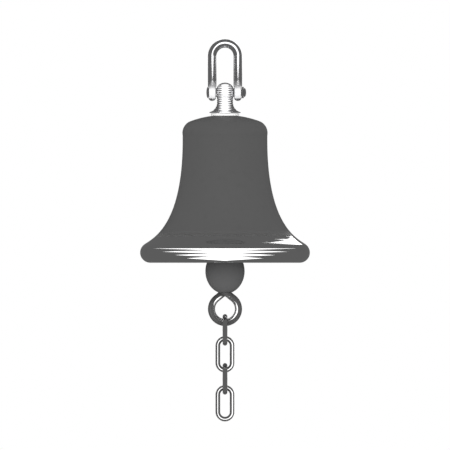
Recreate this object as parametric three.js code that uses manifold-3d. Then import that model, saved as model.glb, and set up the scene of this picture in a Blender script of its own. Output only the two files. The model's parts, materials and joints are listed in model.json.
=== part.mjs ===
// A hanging ship's bell: shackle, threaded hanger stem, flared bell, clapper and lanyard chain.
// Millimetres, +Z up. The origin is the inside top of the shackle bow, where a hook carries it.
// X runs along the shackle pin. The bell, its clapper and its chain hang straight down.
import * as THREE from 'three';
import { mergeVertices } from 'three/addons/utils/BufferGeometryUtils.js';
import Module from 'manifold-3d';

const wasm = await Module();
wasm.setup();

// ---- Driving dimensions -------------------------------------------------------------------------

const CLEARANCE = 0.3; // left between any two pieces that touch

// Shackle: a long U of round bar with an eye at each foot, and its pin.
const BAR_RADIUS = 5.1;
const BOW_INSIDE_RADIUS = 10.0;
const PIN_Z = -52.9;
const PIN_RADIUS = 5.2;
const PIN_HOLE_RADIUS = PIN_RADIUS + CLEARANCE;
const EYE_RADIUS = 10.0;
const EYE_HALF_WIDTH = 4.3;
const EYE_RIM_DEPTH = 3.6; // how far the rounded rim reaches in from the eye's edge
const SPOT_FACE_RADIUS = 7.2;
const PIN_HEAD_RADIUS = 6.6;
const PIN_HEAD_HEIGHT = 2.2;
const PIN_NECK_RADIUS = 4.0; // turned down where the washer sits
const PIN_WASHER_RADIUS = 6.7;
const PIN_WASHER_THICKNESS = 2.4;
const PIN_TAIL_RADIUS = 5.4;
const PIN_TAIL_HEIGHT = 2.5;
const THROUGH = 30; // half length of the drills and cutters that pass right through a piece

// Hanger stem: ball head on the pin, neck, flare onto the crown, M12 shank through the crown.
const HEAD_RADIUS = 11.65;
const HEAD_FLAT_X = BOW_INSIDE_RADIUS - CLEARANCE;
const NECK_RADIUS = 9.4;
const FLARE_ARC_RADIUS = 12.0;
const FLARE_RADIUS = 18.4;
const FLARE_TOP_Z = -64.5;
const FLARE_RIM_Z = -76.1;
const FLARE_BASE_Z = -77.0;
const SHANK_RADIUS = 6.0;
const SHANK_HOLE_RADIUS = SHANK_RADIUS + CLEARANCE;

// Bell, as a radius and a height: a domed crown, a round shoulder, a waist and a heavy round lip.
const DOME_RADIUS = 118.2;
const DOME_CENTRE_Z = -197.6;
const CROWN_THICKNESS = 6.5;
const SHOULDER_RADIUS = 15.0;
const SHOULDER_CENTRE = new THREE.Vector2(35.2, -100.6);
const WAIST_TOP_Z = -108.8;
const LIP_RADIUS = 12.0;
const LIP_CENTRE = new THREE.Vector2(88.0, -241.5);
const LIP_START_ANGLE = 51; // degrees above level, where the waist runs into the lip
const MOUTH_Z = LIP_CENTRE.y - LIP_RADIUS;
const CROWN_HOLE_RADIUS = 6.5;
const SHOULDER_END_ANGLE = -11.5; // degrees, where the shoulder runs into the waist
// Points that steer the waist's curves: a radius, and a height that is above the mouth on the inside.
const OUTER_WAIST = { upperZ: -213.0, lower: new THREE.Vector2(87.4, -225.6) };
const INNER_WAIST = { start: [84.6, 4.5], lower: [70.6, 40.5], upper: [44.6, 50.0] };
const EDGE_RADIUS = 88.0; // where the flat mouth turns up into the inside
const EDGE_PULL_RADIUS = 86.35;
const BOSS_RADIUS = 17.3;
const BOSS_Z = -88.6;

// Washers and nut under the crown, stacked down the shank.
const CROWN_WASHER_RADIUS = 16.5;
const INNER_WASHER = { inner: 6.4, outer: 15.0, height: 2.5 };
const LOCK_WASHER = { inner: 6.4, outer: 10.2, height: 2.5 };
const LOCK_WASHER_SLIT = 1.4;
const CROWN_NUT = { acrossFlats: 19.0, height: 10.0, bore: SHANK_HOLE_RADIUS };
const INNER_WASHER_TOP = BOSS_Z - CLEARANCE;
const LOCK_WASHER_TOP = INNER_WASHER_TOP - INNER_WASHER.height - CLEARANCE;
const CROWN_NUT_TOP = LOCK_WASHER_TOP - LOCK_WASHER.height - CLEARANCE;

// Yoke: a fork screwed on the end of the shank, with a clevis pin across it along Y.
const YOKE_TOP = CROWN_NUT_TOP - CROWN_NUT.height - CLEARANCE;
const YOKE_HALF_WIDTH = 8.0;
const YOKE_HALF_LENGTH = 10.5;
const YOKE_BLOCK_HEIGHT = 10.0;
const SLOT_HALF_WIDTH = 5.2;
const PIVOT_Z = YOKE_TOP - YOKE_BLOCK_HEIGHT - 9.5;
const SHANK_END_Z = YOKE_TOP - YOKE_BLOCK_HEIGHT + 1.2;
const CLEVIS_RADIUS = 3.0;
const CLEVIS_HOLE_RADIUS = CLEVIS_RADIUS + CLEARANCE;
const CLEVIS_HEAD = { radius: 4.8, height: 2.2 };
const CLEVIS_CHAMFER = 0.8;
const CLEVIS_WASHER = { inner: CLEVIS_HOLE_RADIUS, outer: 6.0, height: 1.2 };
const CLEVIS_TAIL = 5.0; // how far the clevis pin stands out past its washer
const COTTER_WIRE = 0.4;
const COTTER_LEG_OFFSET = 0.5;
const COTTER_HOLE_RADIUS = 1.2;

// Clapper: a rod with a flat eye, a lock nut and an egg-shaped bob half below the lip.
const ROD_RADIUS = 4.5;
const ROD_THREAD_RADIUS = 4.0;
const ROD_EYE_RADIUS = 8.0;
const ROD_EYE_HALF_WIDTH = 4.8;
const BOB_RADIUS = 23.13;
const BOB_HALF_HEIGHT = 26.73;
const BOB_Z = -263.94;
const BOB_SEAT_RADIUS = 8.0; // flat under the lock nut
const BOB_NUT = { acrossFlats: 13.0, height: 6.5, bore: ROD_THREAD_RADIUS + CLEARANCE };
const THREAD_DEPTH = 15.0; // how far the rod and the lanyard eye screw into the bob

// Lanyard eye: a rod bent round into a teardrop whose two ends cross under the bob.
const LOOP_ROD_RADIUS = 4.2;
const LOOP_RADIUS = 15.9;
const LOOP_Z = -308.0;
const CROSSING_Z = -287.7;
const CROSSING_OFFSET = 4.35; // how far each end stands before or behind the middle plane
const SPIGOT_RADIUS = 4.0;
const SPIGOT_END_Z = -291.0;

// Chain: four round-wire links, turned a quarter turn from one to the next.
const WIRE_RADIUS = 2.8;
const LINK_BEND_RADIUS = 8.45;
const EDGE_ON_LINK_LENGTH = 37.5;
const FACE_ON_LINK_LENGTH = 43.2;
const LINK_COUNT = 4;

// ---- Solids, profiles and curves -----------------------------------------------------------------

// A closed solid for cutting and joining, from the geometry's positions alone.
function solidOf(geometry) {
  const plain = geometry.clone();
  plain.deleteAttribute('normal');
  plain.deleteAttribute('uv');
  const merged = mergeVertices(plain, 1e-4);
  const corners = merged.index.array;
  const kept = [];
  for (let i = 0; i < corners.length; i += 3) {
    const [a, b, c] = corners.subarray(i, i + 3);
    if (a !== b && b !== c && c !== a) kept.push(a, b, c);
  }
  const vertProperties = new Float32Array(merged.attributes.position.array);
  const mesh = new wasm.Mesh({ numProp: 3, vertProperties, triVerts: new Uint32Array(kept) });
  return new wasm.Manifold(mesh);
}

function geometryOf(solid) {
  const mesh = solid.getMesh();
  const geometry = new THREE.BufferGeometry();
  geometry.setAttribute('position', new THREE.BufferAttribute(mesh.vertProperties, 3));
  geometry.setIndex(new THREE.BufferAttribute(mesh.triVerts, 1));
  geometry.computeVertexNormals();
  return geometry;
}

// The first geometry with every one of the others cut away.
function cut(geometry, ...tools) {
  return geometryOf(tools.reduce((solid, tool) => solid.subtract(solidOf(tool)), solidOf(geometry)));
}

function join(...geometries) {
  return geometryOf(geometries.map(solidOf).reduce((solid, other) => solid.add(other)));
}

function point(radius, height) {
  return new THREE.Vector2(radius, height);
}

// The angle in degrees above level at which a circle of this radius is a given distance off its axis.
function angleAt(distance, radius) {
  return THREE.MathUtils.radToDeg(Math.acos(distance / radius));
}

// Points of an arc, at angles in degrees from the +radius direction.
function arc(centre, radius, from, to, steps, depth = radius) {
  return Array.from({ length: steps + 1 }, (_, i) => {
    const angle = THREE.MathUtils.degToRad(from + ((to - from) * i) / steps);
    return point(centre.x + radius * Math.cos(angle), centre.y + depth * Math.sin(angle));
  });
}

function signedArea(points) {
  return points.reduce((sum, p, i) => {
    const q = points[(i + 1) % points.length];
    return sum + (p.x * q.y - q.x * p.y) / 2;
  }, 0);
}

// A body turned about Z from its outline, given as (radius, height) points in either order.
// An outline that leaves the axis closes on itself.
function turned(outline, segments) {
  const points = signedArea(outline) > 0 ? [...outline] : [...outline].reverse();
  if (points[0].x > 0) points.push(points[0].clone());
  return new THREE.LatheGeometry(points, segments).rotateX(Math.PI / 2);
}

// Turns a body made along Z to lie along X or along Y.
function alongX(geometry) {
  return geometry.rotateY(Math.PI / 2);
}

function alongY(geometry) {
  return geometry.rotateX(-Math.PI / 2);
}

function rod(radius, bottom, top, segments = 20) {
  return turned([point(0, bottom), point(radius, bottom), point(radius, top), point(0, top)], segments);
}

function ring({ inner, outer, height }, top, segments = 24) {
  const bottom = top - height;
  const outline = [point(inner, bottom), point(outer, bottom), point(outer, top), point(inner, top)];
  return turned(outline, segments);
}

// A hexagon nut with chamfered corners and a plain bore.
function hexNut({ acrossFlats, height, bore }, top) {
  const corner = acrossFlats / Math.sqrt(3);
  const hexagon = new THREE.CylinderGeometry(corner, corner, height, 6).rotateX(Math.PI / 2);
  hexagon.translate(0, 0, top - height / 2);
  const drop = (corner - acrossFlats / 2) * 0.6;
  const blank = turned([
    point(0, top - height), point(acrossFlats / 2, top - height), point(corner + 0.1, top - height + drop),
    point(corner + 0.1, top - drop), point(acrossFlats / 2, top), point(0, top),
  ], 24);
  const solid = solidOf(hexagon).intersect(solidOf(blank));
  return geometryOf(solid.subtract(solidOf(rod(bore, top - height - 1, top + 1))));
}

function circle(radius, sides) {
  const shape = new THREE.Shape();
  for (let i = 0; i < sides; i += 1) {
    const angle = (2 * Math.PI * i) / sides;
    if (i === 0) shape.moveTo(radius, 0);
    else shape.lineTo(radius * Math.cos(angle), radius * Math.sin(angle));
  }
  return shape;
}

function tubeAlong(extrudePath, radius, sides, steps) {
  return new THREE.ExtrudeGeometry(circle(radius, sides), { extrudePath, steps, bevelEnabled: false });
}

// ---- Shackle -------------------------------------------------------------------------------------

const bowCentreRadius = BOW_INSIDE_RADIUS + BAR_RADIUS;
const eyeOuterX = bowCentreRadius + EYE_HALF_WIDTH;

class BowCurve extends THREE.Curve {
  getPoint(t, target = new THREE.Vector3()) {
    const leg = -BOW_INSIDE_RADIUS - PIN_Z;
    const along = t * (2 * leg + Math.PI * bowCentreRadius);
    if (along < leg) return target.set(-bowCentreRadius, 0, PIN_Z + along);
    const angle = (along - leg) / bowCentreRadius;
    if (angle > Math.PI) {
      return target.set(bowCentreRadius, 0, -BOW_INSIDE_RADIUS - (angle - Math.PI) * bowCentreRadius);
    }
    const x = -bowCentreRadius * Math.cos(angle);
    return target.set(x, 0, -BOW_INSIDE_RADIUS + bowCentreRadius * Math.sin(angle));
  }
}

// One foot of the bow: a thick disc across the pin with a rounded rim.
function shackleEye(x) {
  const rimCentre = point(EYE_RADIUS - EYE_RIM_DEPTH, 0);
  const rim = arc(rimCentre, EYE_RIM_DEPTH, -90, 90, 6, EYE_HALF_WIDTH);
  const disc = turned([point(0, -EYE_HALF_WIDTH), ...rim, point(0, EYE_HALF_WIDTH)], 24);
  return alongX(disc).translate(x, 0, PIN_Z);
}

// The bar is a little thicker than the eyes, so both faces of each eye are spot-faced round the pin.
function shackleBow() {
  const bow = tubeAlong(new BowCurve(), BAR_RADIUS, 12, 28);
  const body = join(bow, shackleEye(-bowCentreRadius), shackleEye(bowCentreRadius));
  const eyeInnerX = bowCentreRadius - EYE_HALF_WIDTH;
  const cuts = [
    rod(PIN_HOLE_RADIUS, -THROUGH, THROUGH), rod(SPOT_FACE_RADIUS, -eyeInnerX, eyeInnerX),
    rod(SPOT_FACE_RADIUS, eyeOuterX, THROUGH), rod(SPOT_FACE_RADIUS, -THROUGH, -eyeOuterX),
  ];
  return cut(body, ...cuts.map((tool) => alongX(tool).translate(0, 0, PIN_Z)));
}

// Domed head, shank, turned-down neck for the washer and a riveted tail.
function shacklePin() {
  const headFace = -eyeOuterX - CLEARANCE;
  const washerFace = eyeOuterX + CLEARANCE;
  const tailFace = washerFace + PIN_WASHER_THICKNESS + CLEARANCE;
  const head = arc(point(0, headFace), PIN_HEAD_RADIUS, -90, 0, 4, PIN_HEAD_HEIGHT);
  const tail = arc(point(0, tailFace), PIN_TAIL_RADIUS, 0, 90, 4, PIN_TAIL_HEIGHT);
  const shank = [
    point(PIN_RADIUS, headFace), point(PIN_RADIUS, eyeOuterX),
    point(PIN_NECK_RADIUS, eyeOuterX), point(PIN_NECK_RADIUS, tailFace),
  ];
  return alongX(turned([...head, ...shank, ...tail], 24));
}

function pinWasher() {
  const inner = PIN_NECK_RADIUS + CLEARANCE;
  const size = { inner, outer: PIN_WASHER_RADIUS, height: PIN_WASHER_THICKNESS };
  return alongX(ring(size, eyeOuterX + CLEARANCE + PIN_WASHER_THICKNESS));
}

// ---- Bell and what is fixed to it ----------------------------------------------------------------

// Ball head with two flats and a cross hole, neck, flare and screwed shank.
function hangerStem() {
  const flareCentre = point(NECK_RADIUS + FLARE_ARC_RADIUS, FLARE_TOP_Z);
  const body = turned([
    ...arc(point(0, PIN_Z), HEAD_RADIUS, 90, -angleAt(NECK_RADIUS, HEAD_RADIUS), 8),
    ...arc(flareCentre, FLARE_ARC_RADIUS, 180, 255, 6),
    point(FLARE_RADIUS, FLARE_RIM_Z), point(FLARE_RADIUS, FLARE_BASE_Z),
    point(SHANK_RADIUS, FLARE_BASE_Z), point(SHANK_RADIUS, SHANK_END_Z + 1),
    point(SHANK_RADIUS - 1, SHANK_END_Z), point(0, SHANK_END_Z),
  ], 28);
  const flat = new THREE.BoxGeometry(8, 30, 24).translate(HEAD_FLAT_X + 4, 0, PIN_Z + 3);
  const otherFlat = flat.clone().translate(-2 * (HEAD_FLAT_X + 4), 0, 0);
  const hole = alongX(rod(PIN_HOLE_RADIUS, -THROUGH, THROUGH));
  return cut(body, flat, otherFlat, hole.translate(0, 0, PIN_Z));
}

// Height of the crown's outside at a radius.
function domeHeight(radius, offset = 0) {
  return DOME_CENTRE_Z + Math.sqrt((DOME_RADIUS + offset) ** 2 - radius ** 2);
}

// Pale washer between flare and crown, flat above and dished below to the crown's curve.
function crownWasher() {
  const top = FLARE_BASE_Z - CLEARANCE;
  const dish = [0, 0.5, 1].map((t) => {
    const radius = THREE.MathUtils.lerp(CROWN_HOLE_RADIUS, CROWN_WASHER_RADIUS, t);
    return point(radius, domeHeight(radius, CLEARANCE));
  });
  return turned([point(CROWN_HOLE_RADIUS, top), ...dish, point(CROWN_WASHER_RADIUS, top)], 28);
}

// Where the dome of the crown runs into the shoulder, in degrees above level.
const shoulderAngle = THREE.MathUtils.radToDeg(
  Math.atan2(SHOULDER_CENTRE.y - DOME_CENTRE_Z, SHOULDER_CENTRE.x),
);

// From the hole in the crown, down the outside and round the lip to the mouth.
function bellOutside() {
  const holeAngle = angleAt(CROWN_HOLE_RADIUS, DOME_RADIUS);
  const dome = arc(point(0, DOME_CENTRE_Z), DOME_RADIUS, holeAngle, shoulderAngle, 3);
  const shoulder = arc(SHOULDER_CENTRE, SHOULDER_RADIUS, shoulderAngle, SHOULDER_END_ANGLE, 6).slice(1);
  const waistRadius = shoulder.at(-1).x;
  const lip = arc(LIP_CENTRE, LIP_RADIUS, LIP_START_ANGLE, -90, 8);
  const waist = new THREE.CubicBezierCurve(
    point(waistRadius, WAIST_TOP_Z), point(waistRadius, OUTER_WAIST.upperZ), OUTER_WAIST.lower, lip[0],
  );
  return [...dome, ...shoulder, ...waist.getPoints(9), ...lip.slice(1)];
}

// From the mouth up the inside wall to the boss under the crown.
function bellInside() {
  const wallRadius = SHOULDER_CENTRE.x + SHOULDER_RADIUS - CROWN_THICKNESS;
  const innerDome = DOME_RADIUS - CROWN_THICKNESS;
  const bossAngle = angleAt(BOSS_RADIUS + 1, innerDome);
  const steer = ([radius, rise]) => point(radius, MOUTH_Z + rise);
  const start = steer(INNER_WAIST.start);
  const edge = new THREE.QuadraticBezierCurve(steer([EDGE_RADIUS, 0]), steer([EDGE_PULL_RADIUS, 0]), start);
  const wall = new THREE.CubicBezierCurve(
    start, steer(INNER_WAIST.lower), steer(INNER_WAIST.upper), point(wallRadius, WAIST_TOP_Z),
  );
  return [
    ...edge.getPoints(3).slice(1), ...wall.getPoints(7).slice(1),
    ...arc(SHOULDER_CENTRE, SHOULDER_RADIUS - CROWN_THICKNESS, 0, shoulderAngle, 3),
    ...arc(point(0, DOME_CENTRE_Z), innerDome, shoulderAngle, bossAngle, 2).slice(1),
    point(BOSS_RADIUS, BOSS_Z), point(CROWN_HOLE_RADIUS, BOSS_Z),
  ];
}

function bellBody() {
  return turned([...bellOutside(), ...bellInside()], 48);
}

// A spring washer: a ring with a slanting slit on its +Y side.
function lockWasher() {
  const slit = new THREE.BoxGeometry(LOCK_WASHER_SLIT, 8, 8).rotateY(0.45);
  slit.translate(0, (LOCK_WASHER.inner + LOCK_WASHER.outer) / 2, LOCK_WASHER_TOP - LOCK_WASHER.height / 2);
  return cut(ring(LOCK_WASHER, LOCK_WASHER_TOP), slit);
}

// Fork with round-ended cheeks, screwed hole above and pin hole across.
function clapperYoke() {
  const outline = new THREE.Shape();
  outline.moveTo(-YOKE_HALF_WIDTH, YOKE_TOP);
  outline.lineTo(-YOKE_HALF_WIDTH, PIVOT_Z);
  outline.absarc(0, PIVOT_Z, YOKE_HALF_WIDTH, Math.PI, 2 * Math.PI, false);
  outline.lineTo(YOKE_HALF_WIDTH, YOKE_TOP);
  const depth = 2 * YOKE_HALF_LENGTH;
  const block = new THREE.ExtrudeGeometry(outline, { depth, bevelEnabled: false, curveSegments: 16 });
  block.translate(0, 0, -YOKE_HALF_LENGTH).rotateX(Math.PI / 2);
  const slotTop = YOKE_TOP - YOKE_BLOCK_HEIGHT;
  const slot = new THREE.BoxGeometry(20, 2 * SLOT_HALF_WIDTH, 40).translate(0, 0, slotTop - 20);
  const screwHole = rod(SHANK_HOLE_RADIUS, slotTop - 1, YOKE_TOP + 1);
  const pinHole = alongY(rod(CLEVIS_HOLE_RADIUS, -THROUGH, THROUGH)).translate(0, 0, PIVOT_Z);
  return cut(block, slot, screwHole, pinHole);
}

const clevisWasherY = YOKE_HALF_LENGTH + CLEARANCE;
const clevisTailY = clevisWasherY + CLEVIS_WASHER.height;
const cotterY = clevisTailY + CLEARANCE + COTTER_HOLE_RADIUS;

// The clevis pin: its head before the yoke and its cross-drilled tail behind.
function clapperPin() {
  const headFace = -YOKE_HALF_LENGTH - CLEARANCE;
  const end = clevisTailY + CLEVIS_TAIL;
  const start = headFace - CLEVIS_HEAD.height;
  const body = turned([
    point(0, start), point(CLEVIS_HEAD.radius - CLEVIS_CHAMFER, start),
    point(CLEVIS_HEAD.radius, start + CLEVIS_CHAMFER), point(CLEVIS_HEAD.radius, headFace),
    point(CLEVIS_RADIUS, headFace), point(CLEVIS_RADIUS, end - CLEVIS_CHAMFER),
    point(CLEVIS_RADIUS - CLEVIS_CHAMFER, end), point(0, end),
  ], 24);
  const hole = alongX(rod(COTTER_HOLE_RADIUS, -THROUGH, THROUGH, 16)).translate(0, cotterY, PIVOT_Z);
  return cut(alongY(body).translate(0, 0, PIVOT_Z), hole);
}

function clapperPinWasher() {
  return alongY(ring(CLEVIS_WASHER, clevisTailY, 24)).translate(0, 0, PIVOT_Z);
}

// A split pin of bent wire: a round loop, two legs through the hole and spread tips.
function cotterPin() {
  const leg = COTTER_LEG_OFFSET;
  const half = [
    [-6.2, 2.6], [-5.2, 1.4], [-4.0, leg], [-2.0, leg], [0, leg],
    [2.0, leg], [4.0, leg], [5.2, 1.3], [6.6, 1.7],
  ];
  const tip = [8.0, 0];
  const turn = [...half, tip, ...half.map(([x, z]) => [x, -z]).reverse()];
  const path = new THREE.CatmullRomCurve3(turn.map(([x, z]) => new THREE.Vector3(x, cotterY, PIVOT_Z + z)));
  return tubeAlong(path, COTTER_WIRE, 6, 30);
}

// ---- Clapper -------------------------------------------------------------------------------------

const bobSeatZ = BOB_Z + BOB_HALF_HEIGHT * Math.sqrt(1 - (BOB_SEAT_RADIUS / BOB_RADIUS) ** 2);
const bobNutTop = bobSeatZ + CLEARANCE + BOB_NUT.height;
const spigotTop = BOB_Z - BOB_HALF_HEIGHT + THREAD_DEPTH;

function clapperShank() {
  const threadEnd = bobSeatZ - THREAD_DEPTH;
  const rodEnd = bobNutTop + 5;
  const shank = turned([
    point(0, PIVOT_Z - 5), point(ROD_RADIUS, PIVOT_Z - 5), point(ROD_RADIUS, rodEnd + 1),
    point(ROD_THREAD_RADIUS, rodEnd), point(ROD_THREAD_RADIUS, threadEnd), point(0, threadEnd),
  ], 20);
  const rim = arc(point(ROD_EYE_RADIUS - 1, 0), 1, -90, 90, 4, ROD_EYE_HALF_WIDTH);
  const eye = turned([point(0, -ROD_EYE_HALF_WIDTH), ...rim, point(0, ROD_EYE_HALF_WIDTH)], 28);
  const hole = alongY(rod(CLEVIS_HOLE_RADIUS, -THROUGH, THROUGH)).translate(0, 0, PIVOT_Z);
  return cut(join(shank, alongY(eye).translate(0, 0, PIVOT_Z)), hole);
}

// The bob, or the same shape grown by a clearance.
function bobShape(growth = 0) {
  const seatAngle = angleAt(BOB_SEAT_RADIUS, BOB_RADIUS);
  const side = arc(point(0, BOB_Z), BOB_RADIUS + growth, -90, seatAngle, 12, BOB_HALF_HEIGHT + growth);
  return turned([...side, point(0, side.at(-1).y)], 30);
}

function clapperBob() {
  const rodHole = rod(ROD_THREAD_RADIUS + CLEARANCE, bobSeatZ - THREAD_DEPTH - CLEARANCE, bobSeatZ + 1);
  const spigotHole = rod(SPIGOT_RADIUS + CLEARANCE, spigotTop - 2 * THREAD_DEPTH, spigotTop + CLEARANCE);
  return cut(bobShape(), rodHole, spigotHole);
}

// From the front end, over the crossing, round the ring and back over the crossing behind it.
class LoopCurve extends THREE.Curve {
  constructor() {
    super();
    this.start = Math.acos(LOOP_RADIUS / (CROSSING_Z - LOOP_Z));
    this.straight = LOOP_RADIUS * Math.tan(this.start);
    this.over = 5;
    this.round = 2 * (Math.PI - this.start) * LOOP_RADIUS;
  }

  getPoint(t, target = new THREE.Vector3()) {
    const lead = this.over + this.straight;
    const along = t * (2 * lead + this.round);
    const mirrored = t > 0.5;
    const s = mirrored ? 2 * lead + this.round - along : along;
    const inward = THREE.MathUtils.smoothstep(s, this.over, lead + 0.3 * this.round);
    const depth = -CROSSING_OFFSET * (1 - inward);
    const side = mirrored ? -1 : 1;
    if (s < lead) {
      const past = s - this.over;
      const x = past * Math.cos(this.start);
      return target.set(side * x, side * depth, CROSSING_Z - past * Math.sin(this.start));
    }
    const angle = this.start + (s - lead) / LOOP_RADIUS;
    const z = LOOP_Z + LOOP_RADIUS * Math.cos(angle);
    return target.set(side * LOOP_RADIUS * Math.sin(angle), side * depth, z);
  }
}

function lanyardEye() {
  const loop = tubeAlong(new LoopCurve(), LOOP_ROD_RADIUS, 12, 36);
  const trimmed = cut(loop, bobShape(CLEARANCE));
  return join(trimmed, rod(SPIGOT_RADIUS, SPIGOT_END_Z, spigotTop));
}

// ---- Chain ---------------------------------------------------------------------------------------

// The centre line of a link in the XZ plane: two straight sides and two half-round ends.
class LinkCurve extends THREE.Curve {
  constructor(length) {
    super();
    this.straight = length - 2 * (LINK_BEND_RADIUS + WIRE_RADIUS);
  }

  // Starts at the middle of the lower end; t = 0.5 is the middle of the upper end.
  getPoint(t, target = new THREE.Vector3()) {
    const quarter = (Math.PI / 2) * LINK_BEND_RADIUS;
    const half = this.straight + 2 * quarter;
    const side = t < 0.5 ? 1 : -1;
    const s = t < 0.5 ? t * 2 * half : (1 - t) * 2 * half;
    if (s > quarter && s < quarter + this.straight) {
      return target.set(side * LINK_BEND_RADIUS, 0, s - half / 2);
    }
    const rise = s < half / 2 ? -1 : 1;
    const angle = Math.min(s, half - s) / LINK_BEND_RADIUS;
    const z = rise * (this.straight / 2 + LINK_BEND_RADIUS * Math.cos(angle));
    return target.set(side * LINK_BEND_RADIUS * Math.sin(angle), 0, z);
  }
}

// The wire's centre line meets itself, so the closed tube has no open ends.
function chainLink(length) {
  return new THREE.TubeGeometry(new LinkCurve(length), 28, WIRE_RADIUS, 10, true);
}

// Top of each link, and the link's length and turn, from the lanyard eye down.
function chainLayout() {
  const links = [];
  let seat = LOOP_Z - LOOP_RADIUS + LOOP_ROD_RADIUS;
  for (let i = 0; i < LINK_COUNT; i += 1) {
    const edgeOn = i % 2 === 0;
    const length = edgeOn ? EDGE_ON_LINK_LENGTH : FACE_ON_LINK_LENGTH;
    const top = seat + CLEARANCE + 2 * WIRE_RADIUS;
    links.push({ middle: top - length / 2, length, turn: edgeOn ? Math.PI / 2 : 0 });
    seat = top - length + 2 * WIRE_RADIUS;
  }
  return links;
}

// ---- Assembly ------------------------------------------------------------------------------------

const steel = { color: 0xb9bcc0, roughness: 0.2, metalness: 1.0 };
const darkSteel = { color: 0x4b4b4c, roughness: 0.6, metalness: 0.0 };
const bellMetal = { color: 0x5b5b5b, roughness: 0.6, metalness: 0.0 };
const paleNylon = { color: 0xf2f2f0, roughness: 0.5, metalness: 0.0 };

const object = new THREE.Group();

function add(parent, name, geometry, finish) {
  const mesh = new THREE.Mesh(geometry, new THREE.MeshStandardMaterial(finish));
  mesh.name = name;
  parent.add(mesh);
  return mesh;
}

add(object, 'shackle_bow', shackleBow(), steel);
for (const [name, geometry] of [['shackle_pin', shacklePin()], ['pin_washer', pinWasher()]]) {
  add(object, name, geometry, steel).position.z = PIN_Z;
}

add(object, 'hanger_stem', hangerStem(), steel);
add(object, 'crown_washer', crownWasher(), paleNylon);
add(object, 'bell_body', bellBody(), bellMetal);
add(object, 'inner_washer', ring(INNER_WASHER, INNER_WASHER_TOP, 28), steel);
add(object, 'lock_washer', lockWasher(), darkSteel);
add(object, 'crown_nut', hexNut(CROWN_NUT, CROWN_NUT_TOP), steel);
add(object, 'clapper_yoke', clapperYoke(), darkSteel);
add(object, 'clapper_pin', clapperPin(), steel);
add(object, 'clapper_pin_washer', clapperPinWasher(), steel);
add(object, 'cotter_pin', cotterPin(), steel);

add(object, 'clapper_shank', clapperShank(), darkSteel);
add(object, 'bob_lock_nut', hexNut(BOB_NUT, bobNutTop), steel);
add(object, 'clapper_bob', clapperBob(), bellMetal);
add(object, 'lanyard_eye', lanyardEye(), steel);

chainLayout().forEach(({ middle, length, turn }, i) => {
  const link = add(object, `chain_link_${i + 1}`, chainLink(length), steel);
  link.position.z = middle;
  link.rotation.z = turn;
});

export default object;
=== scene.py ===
"""The finished ship's bell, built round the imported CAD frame: fine meshes, finishes, light and camera."""

import json
import math

import bpy
import numpy as np
from mathutils import Matrix, Vector

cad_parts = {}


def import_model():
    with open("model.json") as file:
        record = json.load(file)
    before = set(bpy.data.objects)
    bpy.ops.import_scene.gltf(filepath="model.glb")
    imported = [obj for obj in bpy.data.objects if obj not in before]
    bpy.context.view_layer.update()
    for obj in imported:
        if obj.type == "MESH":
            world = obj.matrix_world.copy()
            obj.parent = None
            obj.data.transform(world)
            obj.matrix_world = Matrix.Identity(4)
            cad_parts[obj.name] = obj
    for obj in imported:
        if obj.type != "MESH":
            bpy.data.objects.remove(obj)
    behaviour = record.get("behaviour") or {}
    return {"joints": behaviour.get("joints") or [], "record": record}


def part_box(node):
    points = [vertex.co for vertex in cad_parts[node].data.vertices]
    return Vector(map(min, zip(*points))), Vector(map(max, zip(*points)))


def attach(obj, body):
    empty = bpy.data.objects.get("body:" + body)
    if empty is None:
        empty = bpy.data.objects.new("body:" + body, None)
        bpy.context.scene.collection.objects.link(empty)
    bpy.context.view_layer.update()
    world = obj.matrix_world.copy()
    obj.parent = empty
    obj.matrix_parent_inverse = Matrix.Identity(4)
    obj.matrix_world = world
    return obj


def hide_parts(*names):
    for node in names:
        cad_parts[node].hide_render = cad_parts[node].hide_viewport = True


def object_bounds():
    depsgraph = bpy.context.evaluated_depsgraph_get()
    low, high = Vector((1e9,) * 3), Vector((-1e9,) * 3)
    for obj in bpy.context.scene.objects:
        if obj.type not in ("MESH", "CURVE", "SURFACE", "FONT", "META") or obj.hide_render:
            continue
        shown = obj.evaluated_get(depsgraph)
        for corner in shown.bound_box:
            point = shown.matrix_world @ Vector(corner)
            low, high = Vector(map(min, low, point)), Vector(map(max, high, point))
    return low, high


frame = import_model()
cad_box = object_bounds()

MM = 0.001  # shapes are written in millimetres

# ---- Sizes ---------------------------------------------------------------------------------------


def box(node):
    """Lowest and highest corner of a CAD node in millimetres."""
    low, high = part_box(node)
    return np.array(low) / MM, np.array(high) / MM


def joint_z(name):
    """Height of a hinge in millimetres."""
    return next(j["pos_m"][2] for j in frame["joints"] if j["name"] == name) / MM


PIN_Z = joint_z("bell_swing")
PIVOT_Z = joint_z("clapper_swing")
GAP = 0.3  # the running clearance between pieces

bow_high = box("shackle_bow")[1]
stem_low = box("hanger_stem")[0]
bell_low, bell_high = box("bell_body")
bob_low = box("clapper_bob")[0]
eye_low = box("lanyard_eye")[0]

BAR_RADIUS = 5.1
BOW_RADIUS = 15.1  # of the bow's centre line
BOW_BEND_Z = bow_high[2] - BAR_RADIUS - BOW_RADIUS
EYE_HALF_WIDTH = 4.3
EYE_RADIUS = 10.0
PIN_RADIUS = 5.2

DOME_RADIUS = 118.2
DOME_CENTRE = (0.0, -197.6)
CROWN_THICKNESS = 6.5
SHOULDER_RADIUS = 15.0
SHOULDER_CENTRE = (35.2, -100.6)
WAIST_TOP_Z = -108.8
LIP_RADIUS = 12.0
MOUTH_Z = bell_low[2]
LIP_CENTRE = (88.0, MOUTH_Z + LIP_RADIUS)
LIP_START_ANGLE = 51
CROWN_HOLE_RADIUS = 6.5
BOSS_RADIUS = 17.3
BOSS_Z = -88.6

CLAPPER_BORE = 3.3  # for the clapper's pin

BOB_RADIUS = 23.13
BOB_HALF_HEIGHT = 26.73
BOB_Z = bob_low[2] + BOB_HALF_HEIGHT
BOB_SEAT_RADIUS = 8.0

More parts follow.
